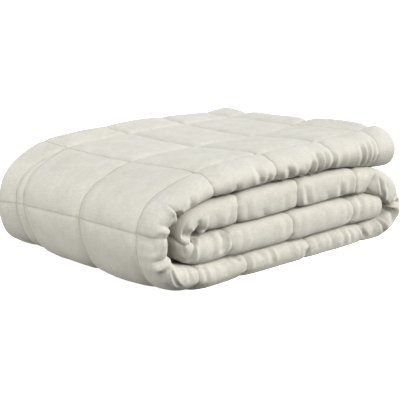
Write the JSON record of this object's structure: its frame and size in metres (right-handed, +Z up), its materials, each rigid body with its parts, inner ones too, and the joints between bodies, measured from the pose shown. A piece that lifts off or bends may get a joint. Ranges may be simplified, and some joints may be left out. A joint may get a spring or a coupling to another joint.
{
  "type": "bedspread",
  "caption": "Quilted off-white linen-look bedspread, folded lengthways and then turned over itself into a soft flat pile for a shelf or the foot of a bed.",
  "frame": {"origin": "middle of the pile's bounding box, on the surface that it rests on", "axes": "+X along the folded passes, towards the free end of the top pass; +Y from the front fold to the back hems; +Z up"},
  "size_m": [0.5196, 0.3794, 0.1668],
  "materials": {
    "linen": "matt linen-look weave, off-white"
  },
  "bodies": {
    "root": {"bedspread": "linen"}
  },
  "joints": []
}
